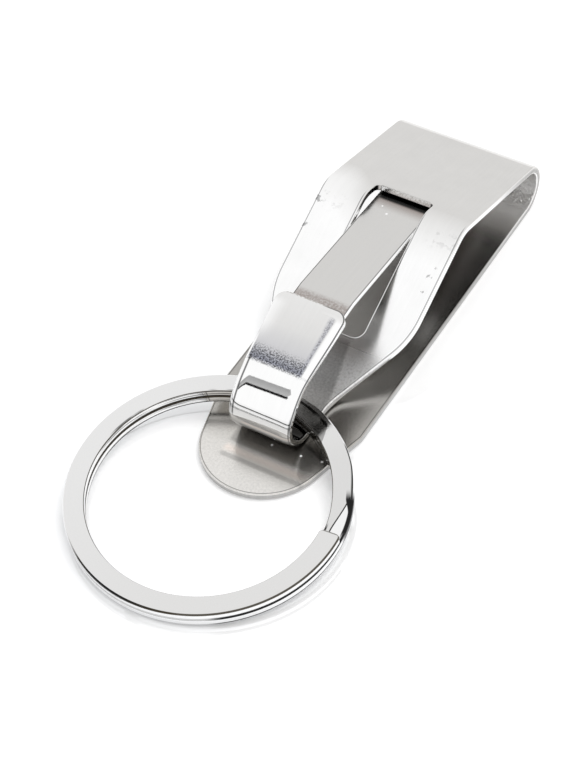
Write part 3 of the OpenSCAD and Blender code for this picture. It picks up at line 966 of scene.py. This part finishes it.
def build_gate():
    under_leg = STRIP_T / 2 + SEAT_GAP + GATE_T / 2
    pad_start = flat_start + PAD_SETBACK * unit(rise_way) + under_leg * unit(rise_way + 90)
    fold_y = window_top + PAD_INSET
    fold = pad_start + (pad_start[0] - fold_y) / math.cos(math.radians(LEG_RISE)) * unit(rise_way)
    bend = Vector((tip_top[0] + GATE_LEAD, tip_top[1] - GATE_STEP))
    tuck = tip - TUCK_LEN * unit(LEAF_RISE) - (STRIP_T / 2 + GATE_GAP + GATE_T / 2) * unit(LEAF_RISE + 90)
    radius = GATE_BEND_R + GATE_T / 2
    track = Track([pad_start, fold, bend, tuck], [radius, radius])
    half = WINDOW_W / 2 - GATE_SIDE_GAP
    material = gate_material(track.starts[3], track.starts[2])
    corners = [Vector((half, 0)), Vector((half, track.length))]
    gate = bent_sheet("gate_piece", track, GATE_T, Outline(rounded(both_sides(corners), [0.5] * 4), 1.0), [],
                      (-1.0, track.length + 1), gate_edge, material, GATE_INSETS, GATE_COLUMNS)
    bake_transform(gate)
    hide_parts("gate_tongue")


def build_ring():
    """One flat wire wound almost twice, with rounded edges, a step down and two cut ends with round corners."""
    ring_r = RING_OD / 2
    middle_r = ring_r - WIRE_W / 2
    step_start = 360 - END_GAP - RAMP
    whole = 2 * step_start + RAMP
    drop = WIRE_H + TURN_GAP
    lean = math.asin((neck_z + STRIP_T / 2 + RING_GAP) / (2 * ring_r - WIRE_W))
    centre = Vector((-RING_SHIFT, curl_y + RING_DEPTH - ring_r,
                     ring_r * math.sin(lean) + (WIRE_H + TURN_GAP / 2) * math.cos(lean)))
    turn_frame = Matrix.Translation(centre) @ Matrix.Rotation(lean, 4, "X")
    section_points = 6

    def height(a):
        share = min(1.0, max(0.0, (a - step_start) / RAMP))
        return drop / 2 - drop * (1 - math.cos(math.pi * share)) / 2

    def raw(a):
        """How far the wire is from its ground flats: 1 in the middle of the step."""
        step_end = step_start + RAMP
        return smooth(step_start - 2, step_start + 12, a) * (1 - smooth(step_end - 12, step_end + 2, a))

    def section(a, inset):
        """The wire's section as (outwards, upwards, normal outwards, normal upwards)."""
        x, z = WIRE_W / 2 - inset[0], WIRE_H / 2 - inset[1]
        top_r = GROUND_EDGE_R + (RAW_EDGE_R - GROUND_EDGE_R) * raw(a)
        out = []
        for cx, cz, radius, start in ((1, 1, top_r, 0), (-1, 1, WIRE_EDGE_R, 90), (-1, -1, WIRE_EDGE_R, 180),
                                      (1, -1, WIRE_EDGE_R, 270)):
            for i in range(section_points):
                way = unit(start + 90 * i / (section_points - 1))
                out.append((cx * (x - radius) + radius * way[0], cz * (z - radius) + radius * way[1], way[0], way[1]))
        return out

    # Where the wire gets a section: its angle, its inset from a cut end, and which end that is
    corner_turn = CUT_CORNER_R / WIRE_PER_DEGREE
    between = whole - 2 * corner_turn
    count = math.ceil(between / 2)
    stops = [(e / WIRE_PER_DEGREE, e, -1) for e in CUT_INSETS]
    stops += [(corner_turn + between * i / count, None, 0) for i in range(1, count)]
    stops += [(whole - e / WIRE_PER_DEGREE, e, 1) for e in reversed(CUT_INSETS)]

    points, normals, flat_uv, edge_uv, faces = [], [], [], [], []
    for a, e, end in stops:
        out = Vector((*unit(CUT - a), 0))
        ahead = Vector((out[1], -out[0], 0))
        slope = (height(a + 0.5) - height(a - 0.5)) / WIRE_PER_DEGREE
        side_turn = edge_turn = side_in = edge_in = 0.0
        if end:
            side_turn = math.asin(max(0.0, 1 - e / CUT_CORNER_R))
            side_in = CUT_CORNER_R * (1 - math.cos(side_turn))
            edge_turn = math.asin(max(0.0, 1 - e / CUT_EDGE_R))
            edge_in = CUT_EDGE_R * (1 - math.cos(edge_turn))
        for px, pz, nx, nz in section(a, (side_in + edge_in, edge_in)):
            local = (middle_r + px) * out + Vector((0, 0, height(a) + pz))
            normal = nx * math.cos(side_turn) * out + Vector((0, 0, nz)) - nz * slope * ahead
            normal += abs(nx) * math.sin(side_turn) * end * ahead
            normal = math.cos(edge_turn) * normal.normalized() + math.sin(edge_turn) * end * ahead
            points.append(turn_frame @ local)
            normals.append((turn_frame.to_3x3() @ normal).normalized())
            flat_uv.append((a * WIRE_PER_DEGREE * MM, px * MM))
            edge_uv.append(((WIRE_H / 2 - pz) * MM, px * MM))
    size = 4 * section_points
    for i in range(len(stops) - 1):
        for j in range(size):
            a, b = i * size + j, i * size + (j + 1) % size
            faces.append((a, b, b + size, a + size))
    faces.append(tuple(reversed(range(size))))
    faces.append(tuple(range(len(points) - size, len(points))))
    material = ring_material(step_start)
    ring = mesh_object("ring_piece", points, normals, faces, {"flat": flat_uv, "edge": edge_uv}, material)
    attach(ring, "ring")
    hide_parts("key_ring")


# ---- Studio ----

def place_camera():
    data = bpy.data.cameras.new("camera")
    data.sensor_width, data.lens = CAM_SENSOR, CAM_LENS
    data.clip_start, data.clip_end = 0.01, 10.0
    camera = placed("camera", data)
    elevation = math.radians(CAM_ELEVATION)
    back = math.cos(elevation) * towards_camera + Vector((0, 0, math.sin(elevation)))
    level = Vector((0, 0, 1)).cross(back).normalized()
    upright = back.cross(level)
    turn = math.radians(CAM_ROLL)
    right = level * math.cos(turn) + upright * math.sin(turn)
    up = upright * math.cos(turn) - level * math.sin(turn)
    pose = Matrix((right, up, back)).transposed().to_4x4()
    pose.translation = (Vector(CAM_TARGET) + back * CAM_DISTANCE) * MM
    camera.matrix_world = pose
    bpy.context.scene.camera = camera


def stage_mesh(name, points, faces, material):
    mesh = bpy.data.meshes.new(name)
    mesh.from_pydata(points, [], faces)
    mesh.materials.append(material)
    obj = placed(name, mesh)
    return obj


def card_material(name, levels, reach):
    """A glow, even or fading from one level to another over a reach towards the camera's side in metres."""
    material, n = new_material(name)
    strength = levels[0]
    if levels[0] != levels[1]:
        towards = n.vectors("DOT_PRODUCT", n.object_place(), towards_camera)["Value"]
        strength = n.step(towards, *reach, *levels, kind="LINEAR")
    n.surface(n.glow(strength))
    return material


def card(name, points, faces, levels, reach=(0.0, 1.0)):
    """A card that only the metal's reflections see."""
    obj = stage_mesh(name, points, faces, card_material(name + "_paint", levels, reach))
    obj.visible_camera = obj.visible_diffuse = obj.visible_shadow = False
    obj.visible_transmission = obj.visible_volume_scatter = False


def ceiling_card(name, reach, sides, levels):
    """A card overhead. Reach and sides are shares of its height: towards the camera's side, and across it."""
    corners = [(reach[0], sides[0]), (reach[1], sides[0]), (reach[1], sides[1]), (reach[0], sides[1])]
    points = [CEILING * (r * towards_camera + a * across_view + Vector((0, 0, 1))) for r, a in corners]
    card(name, points, [(0, 1, 2, 3)], levels, [CEILING * r for r in reach])


def floor_material():
    """Glossy white board: overexposed where nothing shades it, and a mirror close to what stands on it."""
    material, n = new_material("floor_board")
    place, seen = n.object_place(), n.seen()
    paper = n.mix(n.noise(place, 400.0), grey(0.9), grey(0.93))
    matt = n.add("ShaderNodeBsdfDiffuse", {"Color": paper})
    gloss = n.add("ShaderNodeBsdfGlossy", {"Color": (0.94, 0.96, 1.0, 1.0), "Roughness": 0.04})
    # The mirror is clear beside the ring, and faint inside it and further back along the clip
    _, far, _ = n.split(place)
    ring_middle = (-RING_SHIFT * MM, (curl_y + RING_DEPTH - RING_OD / 2) * MM, FLOOR_Z)
    from_middle = n.vectors("DISTANCE", place, ring_middle)["Value"]
    mirror = n.times(n.step(far, 0.025, 0.008, 0.02, 0.22), n.step(from_middle, 0.0125, 0.0145, 0.1, 1.0))
    board = n.add("ShaderNodeMixShader", {0: n.times(seen, mirror), 1: matt.outputs[0], 2: gloss.outputs[0]})
    n.surface(n.add("ShaderNodeAddShader", {0: board.outputs[0], 1: n.glow(n.times(seen, 0.2)).outputs[0]}))
    return material


def light_world():
    """White where it's seen or mirrored, and dimmer as a light."""
    world = bpy.data.worlds.new("studio")
    bpy.context.scene.world = world
    n = fresh_nodes(world)
    strength = n.step(n.seen(), 0.0, 1.0, 0.6, 1.0, kind="LINEAR")
    glow = n.add("ShaderNodeBackground", {"Color": WHITE, "Strength": strength})
    n.add("ShaderNodeOutputWorld", {"Surface": glow.outputs[0]})


def place_lamp():
    data = bpy.data.lights.new("top_lamp", "AREA")
    data.shape, data.size, data.energy = "SQUARE", LAMP_SIZE, LAMP_POWER
    lamp = placed("top_lamp", data)
    lamp.location = LAMP_PLACE
    lamp.rotation_euler = (Vector(LAMP_AIM) - Vector(LAMP_PLACE)).to_track_quat("-Z", "Y").to_euler()
    lamp.visible_glossy = lamp.visible_camera = False


def build_studio():
    place_camera()
    bpy.context.scene.view_settings.view_transform = "Standard"
    light_world()
    corners = ((-1, -1), (1, -1), (1, 1), (-1, 1))
    stage_mesh("floor", [(x * FLOOR_SPAN, y * FLOOR_SPAN, FLOOR_Z) for x, y in corners], [(0, 1, 2, 3)],
               floor_material())
    place_lamp()
    ceiling_card("grey_card", reach=(0.215, 0.41), sides=(-2.2, -0.66), levels=(0.34, 0.5))
    ceiling_card("black_border", reach=(0.41, 0.485), sides=(-2.2, -0.86), levels=(0.0, 0.0))
    around = [HORIZON_R * unit(angle) for angle in range(160, 381, 10)]
    size = len(around)
    card("horizon", [(*p, z) for z in (0.0, HORIZON_H) for p in around],
         [(i, i + 1, size + i + 1, size + i) for i in range(size - 1)], (HORIZON_GLOW, HORIZON_GLOW))


build_studio()
build_strip(strip_material())
build_gate()
build_ring()
